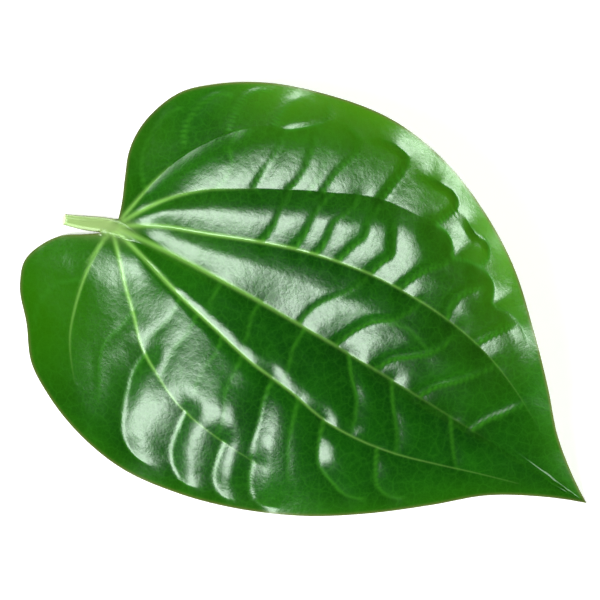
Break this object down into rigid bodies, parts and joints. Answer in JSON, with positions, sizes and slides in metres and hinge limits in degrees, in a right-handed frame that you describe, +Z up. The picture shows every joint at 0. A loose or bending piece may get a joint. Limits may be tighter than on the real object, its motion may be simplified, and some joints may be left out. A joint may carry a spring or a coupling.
{
  "type": "betel leaf",
  "caption": "Picked betel leaf lying face up: heart-shaped, glossy, puckered blade with curved ribs, a drawn-out tip and a short cut stalk.",
  "frame": {"origin": "middle of the leaf's box at the height of the surface it lies on", "axes": "+X along the midrib from the stalk to the tip, +Z up out of the glossy upper face"},
  "size_m": [0.1448, 0.1036, 0.0198],
  "materials": {
    "leaf": "fresh leaf, waxy and glossy above, matt below"
  },
  "bodies": {
    "root": {"leaf": "leaf"}
  },
  "joints": []
}
